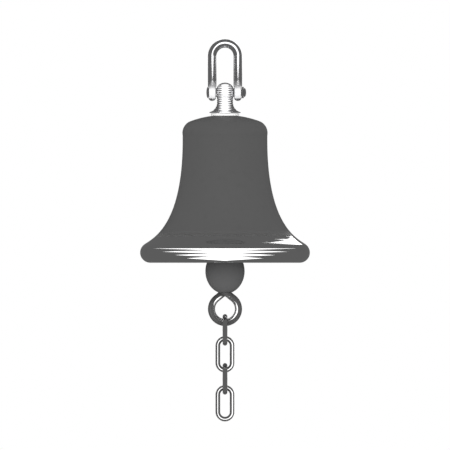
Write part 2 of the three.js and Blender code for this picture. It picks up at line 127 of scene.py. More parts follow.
LOOP_ROD_RADIUS = 4.2
LOOP_RADIUS = 15.9
LOOP_Z = eye_low[2] + LOOP_RADIUS + LOOP_ROD_RADIUS
CROSSING_Z = LOOP_Z + 20.3
CROSSING_OFFSET = 4.35

WIRE_RADIUS = 2.8
LINK_BEND_RADIUS = 8.45

# ---- Mesh building -------------------------------------------------------------------------------


def new_object(name, vertices, faces, sharp=35):
    """A smooth-shaded mesh object from millimetre vertices, with edges over an angle kept sharp."""
    mesh = bpy.data.meshes.new(name)
    mesh.from_pydata(np.asarray(vertices, float) * MM, [], faces)
    mesh.shade_smooth()
    mesh.set_sharp_from_angle(angle=math.radians(sharp))
    obj = bpy.data.objects.new(name, mesh)
    bpy.context.scene.collection.objects.link(obj)
    return obj


def arc(centre, radius, start, end, steps, depth=None):
    """Points of an arc, at angles in degrees from the +radius direction."""
    angles = np.radians(np.linspace(start, end, steps + 1))
    depth = radius if depth is None else depth
    return [(centre[0] + radius * math.cos(a), centre[1] + depth * math.sin(a)) for a in angles]


def bezier(points, steps):
    """Points of a quadratic or cubic Bezier curve."""
    ts = np.linspace(0, 1, steps + 1)[:, None]
    p = [np.array(q, float) for q in points]
    order = len(p) - 1
    curve = sum(math.comb(order, k) * (1 - ts) ** (order - k) * ts**k * q for k, q in enumerate(p))
    return [tuple(q) for q in curve]


def rounded(corners, radius, steps=4):
    """An open outline with each inner corner rounded off; radius is one number or one per inner corner."""
    radii = np.broadcast_to(radius, len(corners) - 2)
    out = [corners[0]]
    for before, corner, after, r in zip(corners, corners[1:], corners[2:], radii):
        corner = np.array(corner, float)
        first = np.array(before) - corner
        second = np.array(after) - corner
        reach = min(r, np.linalg.norm(first) / 2.01, np.linalg.norm(second) / 2.01)
        start = corner + first / np.linalg.norm(first) * reach
        end = corner + second / np.linalg.norm(second) * reach
        out += bezier([start, corner, end], steps) if r > 0 else [tuple(corner)]
    return out + [corners[-1]]


def dense(points, step):
    """The outline with no stretch longer than step."""
    out = [points[0]]
    for p, q in zip(points, points[1:]):
        count = max(1, math.ceil(math.dist(p, q) / step))
        out += [tuple(np.array(p) + (np.array(q) - np.array(p)) * k / count) for k in range(1, count + 1)]
    return out


def turn_to(axis, vertices):
    """Vertices of a body made along Z, laid along another axis."""
    x, y, z = vertices.T
    return {"Z": vertices, "X": np.c_[z, y, -x], "Y": np.c_[x, z, -y]}[axis]


def spin(name, outline, segments=96, relief=None, axis="Z", centre=(0, 0, 0), sharp=35):
    """A body turned from its (radius, height) outline.

    relief(angles, radius, height) gives what is added to the radius at each angle.
    """
    points = np.array(outline, float)
    ahead = np.roll(points, -1, axis=0)
    if np.sum(points[:, 0] * ahead[:, 1] - ahead[:, 0] * points[:, 1]) < 0:
        points = points[::-1]
    angles = np.linspace(0, 2 * math.pi, segments, endpoint=False)
    vertices, rings = [], []
    for radius, height in points:
        start = len(vertices)
        if radius < 1e-6:
            vertices.append((0.0, 0.0, height))
            rings.append([start] * segments)
            continue
        radii = radius + (relief(angles, radius, height) if relief else np.zeros(segments))
        vertices += list(zip(radii * np.cos(angles), radii * np.sin(angles), np.full(segments, height)))
        rings.append(list(range(start, start + segments)))
    pairs = list(zip(rings, rings[1:]))
    if points[0][0] > 1e-6:
        pairs.append((rings[-1], rings[0]))
    faces = []
    for low, high in pairs:
        for j in range(segments):
            k = (j + 1) % segments
            quad = [low[j], low[k], high[k], high[j]]
            face = [v for i, v in enumerate(quad) if v != quad[i - 1]]
            if len(face) > 2:
                faces.append(face)
    return new_object(name, turn_to(axis, np.array(vertices)) + np.array(centre), faces, sharp)


def cylinder(name, radius, low, high, segments=64, axis="Z", centre=(0, 0, 0)):
    """A plain round bar between two heights along its axis."""
    outline = [(0, low), (radius, low), (radius, high), (0, high)]
    return spin(name, outline, segments, axis=axis, centre=centre)


def sweep(name, path, radius, sides=32, closed=False, sharp=35):
    """A round bar along a path; radius is one number or one per point. Open ends are capped."""
    path = np.array(path, float)
    count = len(path)
    radii = np.broadcast_to(radius, count)
    if closed:
        tangents = np.roll(path, -1, axis=0) - np.roll(path, 1, axis=0)
    else:
        tangents = np.gradient(path, axis=0)
    tangents /= np.linalg.norm(tangents, axis=1)[:, None]
    side = np.cross(tangents[0], (0.31, 0.87, 0.38))
    angles = np.linspace(0, 2 * math.pi, sides, endpoint=False)
    vertices = []
    for point, tangent, r in zip(path, tangents, radii):
        side = side - tangent * side.dot(tangent)
        side /= np.linalg.norm(side)
        other = np.cross(tangent, side)
        vertices += [point + r * (math.cos(a) * side + math.sin(a) * other) for a in angles]
    faces = []
    for i in range(count if closed else count - 1):
        a, b = i * sides, ((i + 1) % count) * sides
        faces += [[a + j, a + (j + 1) % sides, b + (j + 1) % sides, b + j] for j in range(sides)]
    if not closed:
        faces.append(list(range(sides))[::-1])
        faces.append([(count - 1) * sides + j for j in range(sides)])
    return new_object(name, vertices, faces, sharp)


def block(name, low, high):
    """A plain box, used only to cut others."""
    corners = [(x, y, z) for z in (low[2], high[2]) for y in (low[1], high[1]) for x in (low[0], high[0])]
    faces = [[0, 2, 3, 1], [4, 5, 7, 6], [0, 1, 5, 4], [2, 6, 7, 3], [0, 4, 6, 2], [1, 3, 7, 5]]
    return new_object(name, corners, faces)


def settle(obj, sharp=35):
    """Applies an object's modifiers to its mesh."""
    graph = bpy.context.evaluated_depsgraph_get()
    mesh = bpy.data.meshes.new_from_object(obj.evaluated_get(graph))
    obj.modifiers.clear()
    obj.data = mesh
    mesh.shade_smooth()
    mesh.set_sharp_from_angle(angle=math.radians(sharp))
    return obj


def cut(obj, *cutters, sharp=35):
    """Cuts the cutters out of an object and removes them."""
    for cutter in cutters:
        modifier = obj.modifiers.new("cut", "BOOLEAN")
        modifier.operation = "DIFFERENCE"
        modifier.solver = "EXACT"
        modifier.object = cutter
    settle(obj, sharp)
    for cutter in cutters:
        bpy.data.objects.remove(cutter)
    return obj


def forge(name, parts, voxel, smoothing):
    """Melts overlapping bodies into one with softened inner corners, as a forging has."""
    with bpy.context.temp_override(active_object=parts[0], selected_editable_objects=parts):
        bpy.ops.object.join()
    obj = parts[0]
    obj.name = name
    remesh = obj.modifiers.new("melt", "REMESH")
    remesh.mode = "VOXEL"
    remesh.voxel_size = voxel * MM
    soften = obj.modifiers.new("soften", "SMOOTH")
    soften.iterations = smoothing
    return settle(obj)


def bevel(obj, width, segments=2, angle=40):
    """Rounds off every edge sharper than an angle."""
    modifier = obj.modifiers.new("bevel", "BEVEL")
    modifier.width = width * MM
    modifier.segments = segments
    modifier.angle_limit = math.radians(angle)
    return settle(obj)


def hexagon(across_flats):
    """Relief that holds a turned blank to a hexagon with corners along Y; the bore is left round."""
    def relief(angles, radius, height):
        if radius <= across_flats / 2 - 0.5:
            return np.zeros(len(angles))
        turn = (angles - math.pi / 2) % (math.pi / 3) - math.pi / 6
        flat = across_flats / 2 / np.cos(turn)
        return np.minimum(flat, radius) - radius
    return relief


def thread(pitch, depth, low, high, inside=False):
    """Relief of a screw thread between two heights, fading out at both ends."""
    def relief(angles, radius, height):
        phase = (height / pitch - angles / (2 * math.pi)) % 1
        fade = np.clip(min(height - low, high - height) / (0.6 * pitch), 0, 1)
        valley = np.clip(1 - np.abs(phase - 0.5) / 0.38, 0, 1)
        return (1 if inside else -1) * depth * fade * valley
    return relief


# ---- Finishes ------------------------------------------------------------------------------------

OXIDE = 0.105  # the grey of dull metal
BRIGHT = 0.9  # the grey of bare steel
STUDIO_DARK = 0.117  # how bright the studio looks to polished metal
POLISH_TOP = -215.0  # the outside of the bell is polished from here down
POLISH_FADE = 7.0


class Finish:
    """A material under construction, with its nodes made by short calls."""

    def __init__(self, name):
        self.material = bpy.data.materials.new(name)
        self.material.use_nodes = True
        self.tree = self.material.node_tree
        self.shader = self.tree.nodes["Principled BSDF"]
        self.place = self.tree.nodes.new("ShaderNodeTexCoord").outputs["Object"]

    def node(self, kind, **inputs):
        made = self.tree.nodes.new(kind)
        for key, value in inputs.items():
            self.put(made.inputs[key.replace("_", " ")], value)
        return made

    def put(self, socket, value):
        if isinstance(value, bpy.types.NodeSocket):
            self.tree.links.new(value, socket)
        else:
            socket.default_value = value

    def noise(self, scale, detail=4.0, stretch=(1, 1, 1), roughness=0.55):
        """Cloudy variation from 0 to 1, stretched along the axes."""
        mapping = self.node("ShaderNodeMapping", Vector=self.place, Scale=stretch)
        made = self.node("ShaderNodeTexNoise", Vector=mapping.outputs[0], Scale=scale, Detail=detail)
        made.inputs["Roughness"].default_value = roughness
        return made.outputs[0]

    def span(self, value, low, high, start=0.0, end=1.0):
        """A value from start to end, carried to low to high."""
        made = self.node("ShaderNodeMapRange", Value=value)
        made.inputs["From Min"].default_value = start
        made.inputs["From Max"].default_value = end
        made.inputs["To Min"].default_value = low
        made.inputs["To Max"].default_value = high
        return made.outputs[0]

    def mix(self, factor, first, second):
        made = self.tree.nodes.new("ShaderNodeMix")
        made.data_type = "RGBA"
        self.put(made.inputs[0], factor)
        self.put(made.inputs[6], first)
        self.put(made.inputs[7], second)
        return made.outputs[2]

    def math(self, operation, first, second=0.0):
        made = self.tree.nodes.new("ShaderNodeMath")
        made.operation = operation
        self.put(made.inputs[0], first)
        self.put(made.inputs[1], second)
        return made.outputs[0]

    def blend(self, factor, first, second):
        """A number between two others."""
        made = self.node("ShaderNodeMix", Factor=factor)
        self.put(made.inputs[2], first)
        self.put(made.inputs[3], second)
        return made.outputs[0]

    def attribute(self, name):
        """A number stored on the mesh's points."""
        made = self.tree.nodes.new("ShaderNodeAttribute")
        made.attribute_name = name
        return made.outputs["Fac"]

    def shade(self, metal):
        """A grey that looks as dark on bare metal, which mirrors the dark studio, as on dull oxide."""
        level = self.math("DIVIDE", OXIDE, self.span(metal, 1, STUDIO_DARK))
        return self.node("ShaderNodeCombineColor", Red=level, Green=level, Blue=level).outputs[0]

    def bump(self, value, strength, distance):
        made = self.node("ShaderNodeBump", Height=value, Strength=strength, Distance=distance)
        self.put(self.shader.inputs["Normal"], made.outputs[0])

    def set(self, **inputs):
        for key, value in inputs.items():
            self.put(self.shader.inputs[key.replace("_", " ")], value)
        return self.material


def grey(value):
    return (value, value, value * 1.01, 1.0)


def steel(name, shade, roughness, grain=500, stretch=(1, 1, 1), worn=0, satin=False):
    """Bare steel: faint clouds in its tone and gloss, and a fine grain.

    worn leaves only the outer (1) or inner (-1) half of a bent bar bare, the rest dull with oxide.
    The last switch makes the steel matt and pale, a painted highlight, where the mesh is marked for one, and
    rougher where marked as rough.
    """
    finish = Finish(name)
    clouds = finish.noise(60, 5)
    streaks = finish.noise(grain, 3, stretch)
    tone = finish.mix(clouds, grey(shade * 0.97), grey(min(1, shade * 1.03)))
    gloss = finish.math("ADD", finish.span(clouds, roughness * 0.9, roughness * 1.1, 0.3, 0.7),
                        finish.span(streaks, -0.01, 0.01, 0.3, 0.7))
    metal = 1.0
    if satin:
        # Painted highlight: a pale matt white where the mesh is marked, standing in for a reflection.
        painted_highlight = finish.attribute("painted_highlight")
        metal = finish.span(painted_highlight, 1, 0)
        tone = finish.mix(painted_highlight, tone, grey(0.98))
        gloss = finish.math("ADD", gloss, finish.span(finish.attribute("rough"), 0, 0.4))
    if worn:
        outward = finish.attribute("outward")
        metal = finish.span(outward, 0, 1, -0.12 * worn, 0.12 * worn)
        tone = finish.shade(metal)
        gloss = finish.math("ADD", gloss, finish.span(metal, 0.3, 0))
    finish.bump(streaks, 0.03, 0.00002)
    return finish.set(Base_Color=tone, Roughness=gloss, Metallic=metal)


def patina(name, shade, polished=False):
    """Dark dull metal, faintly mottled, with fine turning marks, and mirror-like where marked as polished."""
    finish = Finish(name)
    clouds = finish.noise(14, 6)
    mottle = finish.noise(120, 4)
    turning = finish.noise(900, 2, (0.02, 0.02, 1))
    tone = finish.mix(finish.span(clouds, 0, 1, 0.3, 0.7), grey(shade * 0.96), grey(shade * 1.04))
    tone = finish.mix(finish.span(mottle, 0, 0.3, 0.55, 0.8), tone, grey(shade * 0.9))
    gloss = finish.math("ADD", finish.span(clouds, 0.58, 0.66, 0.3, 0.7),
                        finish.span(mottle, -0.03, 0.03, 0.3, 0.7))
    metal = 0.0
    if polished:
        metal = finish.attribute("polished")
        spotted = finish.node("ShaderNodeVectorMath", Vector=finish.shade(metal))
        spotted.operation = "SCALE"
        finish.put(spotted.inputs["Scale"], finish.span(mottle, 1, 0.95, 0.55, 0.8))
        tone = spotted.outputs[0]
        gloss = finish.blend(metal, gloss, finish.span(clouds, 0.035, 0.06))
    height = finish.math("ADD", finish.math("MULTIPLY", turning, 0.5), finish.math("MULTIPLY", mottle, 0.5))
    finish.bump(height, 0.05, 0.00003)
    finish.set(Specular_IOR_Level=0.1)
    return finish.set(Base_Color=tone, Roughness=gloss, Metallic=metal)


def nylon(name):
    """Matt white plastic."""
    finish = Finish(name)
    speckle = finish.noise(400, 4)
    tone = finish.mix(speckle, (0.90, 0.90, 0.89, 1), (0.96, 0.96, 0.95, 1))
    finish.bump(speckle, 0.1, 0.00004)
    return finish.set(Base_Color=tone, Roughness=finish.span(speckle, 0.45, 0.6), Metallic=0.0)


FINISHES = {
    # The shackle's and stem's steel carry painted highlights where their meshes are marked.
    "shackle_steel": steel("shackle_steel", BRIGHT, 0.1, satin=True),
    "stem_steel": steel("stem_steel", BRIGHT, 0.14, 900, (0.05, 0.05, 1), satin=True),
    "washer_nylon": nylon("washer_nylon"),
    "bell_metal": patina("bell_metal", OXIDE, polished=True),
    "fastener_steel": steel("fastener_steel", 0.75, 0.25, 700),
    "dark_steel": patina("dark_steel", 0.07),
    "bob_metal": patina("bob_metal", 0.1),
    "eye_steel": steel("eye_steel", BRIGHT, 0.1, worn=-1),
    "chain_steel": steel("chain_steel", BRIGHT, 0.1, 600, worn=1),
}
slot_of = {row["node"]: row["material_slot"] for row in frame["record"]["subparts"]}
pieces = {}  # the finished objects of each node, for the lamps
body_of = {node: body for body, nodes in frame["record"]["behaviour"]["bodies"].items() for node in nodes}


def vertex_points(obj):
    """Vertex positions in millimetres."""
    points = np.empty(len(obj.data.vertices) * 3)
    obj.data.vertices.foreach_get("co", points)
    return points.reshape(-1, 3) / MM


def mark(obj, name, values):
    """Stores a number on each point of a mesh, for its finish to read."""
    store = obj.data.attributes.new(name, "FLOAT", "POINT")
    store.data.foreach_set("value", np.asarray(values, np.float32))
    return obj


def ramp(value, width):
    """0 below zero, rising to 1 over a width."""
    return np.clip(value / width, 0, 1)


def mark_outward(obj, centre, straight, radius, bar):
    """Marks how far out each point of a bent bar lies, from -1 inside to 1 outside.

    The bar's own line is a circle of this radius, or a long link with straight sides.
    """
    points = vertex_points(obj) - centre
    spread = np.hypot(points[:, 0], points[:, 1]) if straight else np.abs(points[:, 0])
    across = np.hypot(spread, np.maximum(np.abs(points[:, 2]) - straight, 0))
    return mark(obj, "outward", (across - radius) / bar)


def finish_piece(obj, node):
    """Gives a piece its node's finish and place in the frame."""
    slot = slot_of[node]
    obj.data.materials.clear()
    obj.data.materials.append(FINISHES[slot])
    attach(obj, body_of[node])
    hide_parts(node)
    pieces.setdefault(node, []).append(obj)
    return obj


# ---- Shackle -------------------------------------------------------------------------------------


def bow_path():
    """The bar's centre line, up one leg, over and down the other."""
    left = [(-BOW_RADIUS, 0, z) for z in np.linspace(PIN_Z, BOW_BEND_Z, 40)]
    angles = np.linspace(math.pi, 0, 80)
    bend = [(BOW_RADIUS * math.cos(a), 0, BOW_BEND_Z + BOW_RADIUS * math.sin(a)) for a in angles]
    right = [(-x, y, z) for x, y, z in reversed(left)]
    return left + bend[1:-1] + right


def true_bar(bow):
    """Brings the forging's bar above the eyes back to its exact round section."""
    points = vertex_points(bow)
    x, y, z = points.T
    above = np.maximum(z - BOW_BEND_Z, 0)
    around = np.hypot(x, above)
    spine = np.c_[x * BOW_RADIUS / around, 0 * y, np.minimum(z, BOW_BEND_Z) + above * BOW_RADIUS / around]
    offset = points - spine
    exact = spine + offset * (BAR_RADIUS / np.linalg.norm(offset, axis=1))[:, None]
    share = np.clip((z - PIN_Z - 11) / 6, 0, 1)[:, None]
    points += (exact - points) * share * share * (3 - 2 * share)
    bow.data.vertices.foreach_set("co", (points * MM).ravel())
    bow.data.update()


def shackle_bow():
    """Bar and eyes forged as one, then bored and spot-faced. A pale matt painted highlight rings the eyes'
    rims.
    """
    rim_depth = 3.6
    rim = arc((EYE_RADIUS - rim_depth, 0), rim_depth, -90, 90, 20, EYE_HALF_WIDTH)
    disc = [(0, -EYE_HALF_WIDTH), *rim, (0, EYE_HALF_WIDTH)]
    parts = [sweep("bow", bow_path(), BAR_RADIUS, 48)]
    for side in (-1, 1):
        parts.append(spin(f"foot_{side}", disc, 96, axis="X", centre=(side * BOW_RADIUS, 0, PIN_Z)))
    bow = forge("shackle_bow_forged", parts, 0.35, 20)
    true_bar(bow)
    inner, outer = BOW_RADIUS - EYE_HALF_WIDTH, BOW_RADIUS + EYE_HALF_WIDTH
    hole, face, chamfer = PIN_RADIUS + GAP, 7.2, 0.4
    half = [
        (face, inner), (hole + chamfer, inner), (hole, inner + chamfer),
        (hole, outer - chamfer), (hole + chamfer, outer), (face, outer), (face, 30), (0, 30),
    ]
    drill = [(0, -30)] + [(r, -x) for r, x in reversed(half[:-1])] + half
    cut(bow, spin("drill", drill, 96, axis="X", centre=(0, 0, PIN_Z)))
    # Painted highlight on the eyes' rims: off the cheeks, fading into the bar above, and stopping short of
    # the bottom, which is left dark as shade.
    x, _, z = vertex_points(bow).T
    across = np.abs(np.abs(x) - BOW_RADIUS)
    above, below = PIN_Z + 9.5 - z, z - PIN_Z + 7.4
    mark(bow, "rough", ramp(PIN_Z + 15 - z, 4))
    return mark(bow, "painted_highlight", ramp(3.9 - across, 0.5) * ramp(above, 6.5) * ramp(below, 0.9))


def shackle_pin():
    """A pin with a domed head and a riveted tail."""
    low, high = box("shackle_pin")
    head_face = low[0] + 2.2
    tail_face = high[0] - 2.5
    head = arc((0, head_face - 0.5), 6.6, -90, 0, 16, 1.7) + [(6.6, head_face - 0.15), (6.45, head_face)]
    shank = rounded([(6.45, head_face), (PIN_RADIUS, head_face), (PIN_RADIUS, 19.4), (4.0, 19.4),
                     (4.0, tail_face), (5.2, tail_face)], 0.2)
    tail = arc((0, tail_face + 0.3), 5.4, 0, 90, 16, 2.2)
    return spin("shackle_pin_turned", head + shank[1:] + tail, 96, axis="X", centre=(0, 0, PIN_Z))


def washer(name, node, axis="Z", bore=None, edge=0.35):
    """A flat ring with softened edges, in its node's box."""
    low, high = box(node)
    along = "XYZ".index(axis)
    centre = (low + high) / 2
    outer = (high - low)[(along + 1) % 3] / 2
    half = (high - low)[along] / 2
    section = [(bore, 0), (bore, half), (outer, half), (outer, -half), (bore, -half), (bore, 0)]
    return spin(name, rounded(section, edge)[:-1], 96, axis=axis, centre=centre)


# ---- Hanger stem and crown -----------------------------------------------------------------------


def hanger_stem():
    """Ball head with flats, neck and flare, ringed by fine turned grooves down to the crown.

    A pale matt painted highlight covers its front and back; the sides and a share of each groove, widening
    towards the sides, are left out of it as painted shade.
    """
    head, neck, flare_arc = 11.65, 9.4, 12.0
    flare_top, rim, base, flare = -64.5, -76.1, -77.0, 18.4
    neck_angle = math.degrees(math.acos(neck / head))
    outside = arc((0, PIN_Z), head, 90, -neck_angle, 60)
    outside += arc((neck + flare_arc, flare_top), flare_arc, 180, 255, 50)
    outside = dense(outside, 0.25)
    foot = rounded([outside[-1], (flare, rim), (flare, base), (6.0, base), (6.0, stem_low[2] + 1),
                    (5.0, stem_low[2]), (0, stem_low[2])], [0.5, 0.3, 0.3, 0.1, 0.1])
    first, last, pitch = -44.0, -75.0, 2.6

    def grooves(angles, radius, height):
        phase = ((first - height) / pitch) % 1
        depth = 0.5 * max(0.0, 1 - abs(phase - 0.5) / 0.26)
        fade = np.clip(min(first - height, height - last) / 0.5, 0, 1)
        return np.full(len(angles), -depth * fade if radius > neck - 3 else 0.0)

    stem = spin("hanger_stem_turned", outside + foot[1:], 128, relief=grooves)
    flat, clear = 9.7, 20
    cheeks = [
        block("flat", (-clear, -clear, -63), (-flat, clear, -30)),
        block("flat", (flat, -clear, -63), (clear, clear, -30)),
    ]
    hole = PIN_RADIUS + GAP
    drill = [
        (0, -clear), (hole + 6, -clear), (hole + 6, -flat - 0.01),
        (hole + 0.4, -flat), (hole, -flat + 0.4),
    ]
    drill = drill + [(r, -x) for r, x in reversed(drill)]
    cut(stem, *cheeks, spin("drill", drill, 96, axis="X", centre=(0, 0, PIN_Z)))
    x, y, z = vertex_points(stem).T
    # Painted highlight on the lands at front and back, with painted shade in the grooves that widens towards
    # the sides.
    from_groove = np.abs(((first - z) / pitch) % 1 - 0.5)
    dark = 0.5 * ramp(np.abs(x) - 2.8, 5.4)  # each groove's dark part widens towards the sides
    land = np.where(z > first, 1, ramp(from_groove - dark, 0.06))
    painted_highlight = land * ramp(8.6 - np.abs(x), 0.8) * ramp(np.abs(y) - 5.3, 0.8) * ramp(z + 75.5, 1)
    return mark(mark(stem, "painted_highlight", painted_highlight), "rough", painted_highlight)


def crown_washer():
    """A nylon washer, dished below to sit on the bell's dome."""
    outer, bore, top = 16.5, CROWN_HOLE_RADIUS, box("crown_washer")[1][2]
    seat = DOME_RADIUS + GAP
    dish = [(r, DOME_CENTRE[1] + math.sqrt(seat**2 - r**2)) for r in np.linspace(bore, outer, 12)]
    edge = rounded([dish[-2], dish[-1], (outer, top), (bore, top), (bore, top - 0.6)], 0.6)
    return spin("crown_washer_moulded", dish[:-1] + edge[1:], 128)


# ---- Bell ----------------------------------------------------------------------------------------


def blend_angle():
    """Where the dome runs into the shoulder's arc."""
    return math.degrees(math.atan2(SHOULDER_CENTRE[1] - DOME_CENTRE[1], SHOULDER_CENTRE[0]))


def bell_outside():
    """The outside outline, from the crown's hole down to the bottom of the lip."""
    hole = math.degrees(math.acos((CROWN_HOLE_RADIUS + 0.3) / DOME_RADIUS))
    dome = arc(DOME_CENTRE, DOME_RADIUS, hole, blend_angle(), 26)
    shoulder = arc(SHOULDER_CENTRE, SHOULDER_RADIUS, blend_angle(), -11.5, 36)
    waist_radius = shoulder[-1][0]
    lip = arc(LIP_CENTRE, LIP_RADIUS, LIP_START_ANGLE, -90, 150)
    waist = bezier([(waist_radius, WAIST_TOP_Z), (waist_radius, -213.0), (87.4, -225.6), lip[0]], 90)
    return dome + shoulder[1:] + waist + lip[1:]


def bell_inside():
    """The inside outline, from the bottom of the lip up to the crown's hole."""
    wall_radius = SHOULDER_CENTRE[0] + SHOULDER_RADIUS - CROWN_THICKNESS
    bow_end = (84.6, MOUTH_Z + 4.5)
    edge = bezier([(88.0, MOUTH_Z), (86.35, MOUTH_Z), bow_end], 14)
    wall = bezier([bow_end, (70.6, MOUTH_Z + 40.5), (44.6, MOUTH_Z + 50), (wall_radius, WAIST_TOP_Z)], 80)
    shoulder = arc(SHOULDER_CENTRE, SHOULDER_RADIUS - CROWN_THICKNESS, 0, blend_angle(), 20)
    inner = DOME_RADIUS - CROWN_THICKNESS
    boss_angle = math.degrees(math.acos((BOSS_RADIUS + 1.4) / inner))
    dome = arc(DOME_CENTRE, inner, blend_angle(), boss_angle, 16)
    boss = rounded([dome[-1], (BOSS_RADIUS, BOSS_Z), (CROWN_HOLE_RADIUS, BOSS_Z),
                    (CROWN_HOLE_RADIUS, bell_high[2] - 0.2)], [0.6, 0.3])
    return edge[1:] + wall[1:] + shoulder + dome[1:] + boss[1:]


def bell_body():
    """The cast bell, with its lip and the foot of its flare marked as polished on the outside."""
    outside = bell_outside()
    body = spin("bell_body_cast", outside + bell_inside(), 224, sharp=50)
    profile = np.array(outside)[::-1]
    points = vertex_points(body)
    depth = np.interp(points[:, 2], profile[:, 1], profile[:, 0]) - np.hypot(points[:, 0], points[:, 1])
    on_outside = np.abs(depth) < 0.05
    return mark(body, "polished", np.where(on_outside, ramp(POLISH_TOP - points[:, 2], POLISH_FADE), 0))


def lock_washer():
    """A spring washer, slit at a slant."""
    low, high = box("lock_washer")
    obj = washer("lock_washer_split", "lock_washer", bore=6.4, edge=0.25)
    middle = (low[2] + high[2]) / 2
    slit = block("slit", (-0.7, 5, -4), (0.7, 12, 4))
    slit.data.transform(Matrix.Rotation(0.45, 4, "Y"))
    slit.data.transform(Matrix.Translation((0, 0, middle * MM)))
    return cut(obj, slit)


def hex_nut(name, node, across_flats, bore, pitch):
    """A hexagon nut with chamfered corners and a threaded bore."""
    low, high = box(node)
    corner = across_flats / math.sqrt(3)
    drop = (corner - across_flats / 2) * 0.6
    half = (high[2] - low[2]) / 2
    chamfer, shoulder = 0.6, across_flats / 2 - 0.2
    outline = [
        (bore + chamfer, half), (shoulder, half), (corner, half - drop),
        (corner, drop - half), (shoulder, -half), (bore + chamfer, -half),
        (bore, chamfer - half), (bore, half - chamfer),
    ]
    outline = dense(outline + outline[:1], 0.5)[:-1]
    centre = (0, 0, (low[2] + high[2]) / 2)
    flats, screw = hexagon(across_flats), thread(pitch, pitch * 0.45, -half, half, inside=True)

    def relief(angles, radius, height):
        return flats(angles, radius, height) + (screw(angles, radius, height) if radius < bore + 0.1 else 0)

    return spin(name, outline, 180, relief=relief, centre=centre, sharp=25)


# ---- Yoke and its pin ----------------------------------------------------------------------------


def clapper_yoke():
    """A milled fork, tapped above and cross-drilled for the clapper's pin."""
    high = box("clapper_yoke")[1]
    half_width, half_length, top = 8.0, high[1], high[2]
    outline = [(-half_width, top)] + arc((0, PIVOT_Z), half_width, 180, 360, 48) + [(half_width, top)]
    count = len(outline)
    vertices = [(x, y, z) for y in (-half_length, half_length) for x, z in outline]
    faces = [list(range(count)), list(range(2 * count - 1, count - 1, -1))]
    faces += [[(i + 1) % count, i, count + i, count + (i + 1) % count] for i in range(count)]
    yoke = bevel(new_object("clapper_yoke_milled", vertices, faces), 0.7, 3)
    slot_top = top - 10.0
    slot = block("slot", (-20, -5.2, slot_top - 40), (20, 5.2, slot_top))
    hole, countersink = 6.3, 6.8
    screw = [
        (0, slot_top - 2), (hole, slot_top - 2), (hole, top - 0.5),
        (countersink, top + 0.01), (countersink, top + 2), (0, top + 2),
    ]
    pin = cylinder("pin", CLAPPER_BORE, -20, 20, axis="Y", centre=(0, 0, PIVOT_Z))
    return bevel(cut(yoke, slot, spin("screw", screw, 96), pin), 0.25, 2, 60)


def clapper_pin():
    """A headed pin, cross-drilled for the cotter."""
    low, high = box("clapper_pin")
    start, end, face = low[1], high[1], -10.8
    head = rounded([(0, start), (4.8, start), (4.8, face), (3.0, face)], 0.6)
    tail = rounded([(3.0, face), (3.0, end), (0, end)], 0.8)
    pin = spin("clapper_pin_turned", head + tail[1:], 64, axis="Y", centre=(0, 0, PIVOT_Z))
    cotter_y = sum(box("cotter_pin")[i][1] for i in (0, 1)) / 2
    return cut(pin, cylinder("drill", 1.2, -8, 8, 32, axis="X", centre=(0, cotter_y, PIVOT_Z)))


def smooth_path(points, steps):
    """A Catmull-Rom curve through a short list of points."""
    points = [np.array(p, float) for p in points]
    points = [2 * points[0] - points[1], *points, 2 * points[-1] - points[-2]]
    path = []
    for a, b, c, d in zip(points, points[1:], points[2:], points[3:]):
        for t in np.linspace(0, 1, steps, endpoint=False):
            square = 2 * a - 5 * b + 4 * c - d
            cube = 3 * b - a - 3 * c + d
            path.append(0.5 * (2 * b + (c - a) * t + square * t**2 + cube * t**3))
    return path + [points[-2]]


def cotter_pin():
    """A split pin, seen as one wire bent at its eye, with its legs spread."""
    low, high = box("cotter_pin")
    y = (low[1] + high[1]) / 2
    leg = 0.5
    half = [
        (-6.2, 2.6), (-5.2, 1.4), (-4, leg), (-2, leg), (0, leg), (2, leg), (4, leg),
        (5.2, 1.3), (6.6, 1.7),
    ]
    turn = half + [(8, 0)] + [(x, -z) for x, z in reversed(half)]
    return sweep("cotter_pin_bent", smooth_path([(x, y, PIVOT_Z + z) for x, z in turn], 8), 0.4, 16)


# ---- Clapper -------------------------------------------------------------------------------------


def bob_seat():
    """Height of the flat on top of the bob."""
    return BOB_Z + BOB_HALF_HEIGHT * math.sqrt(1 - (BOB_SEAT_RADIUS / BOB_RADIUS) ** 2)


def clapper_shank():
    """Forged eye and rod, with a cut thread above the bob."""
    rod_end = box("bob_lock_nut")[1][2] + 5
    bottom = box("clapper_shank")[0][2]
    rod = cylinder("rod", 4.5, rod_end, PIVOT_Z - 4)
    rim = rounded([(0, -4.8), (8.0, -4.8), (8.0, 4.8), (0, 4.8)], 1.2, 6)
    eye = spin("eye", rim, 96, axis="Y", centre=(0, 0, PIVOT_Z))
    shank = forge("clapper_shank_forged", [rod, eye], 0.4, 8)
    cut(shank, cylinder("drill", CLAPPER_BORE, -20, 20, axis="Y", centre=(0, 0, PIVOT_Z)))
    crest, top = 4.0, rod_end + 0.4
    outline = dense([(0, top), (crest, top), (crest, bottom + 0.6), (crest - 0.6, bottom), (0, bottom)], 0.18)
    groove = thread(1.25, 0.6, bottom, rod_end)

    def relief(angles, radius, height):
        return groove(angles, radius, height) * (radius > crest - 0.1)

    return [shank, spin("clapper_rod_thread", outline, 96, relief=relief)]


def clapper_bob():
    """An egg with a flat for its nut, and a blind hole in each end for the rod and the eye's spigot."""
    hole, depth = 4.3, 15.3
    seat = bob_seat()
    angle = math.degrees(math.acos(BOB_SEAT_RADIUS / BOB_RADIUS))
    bottom_angle = -math.degrees(math.acos(hole / BOB_RADIUS))
    side = arc((0, BOB_Z), BOB_RADIUS, bottom_angle, angle, 72, BOB_HALF_HEIGHT)
    top = [(hole, seat), (hole, seat - depth), (0, seat - depth)]
    spigot_top = BOB_Z - BOB_HALF_HEIGHT + depth
    bottom = [(0, spigot_top), (hole, spigot_top)]
    return spin("clapper_bob_cast", bottom + side + top, 128)


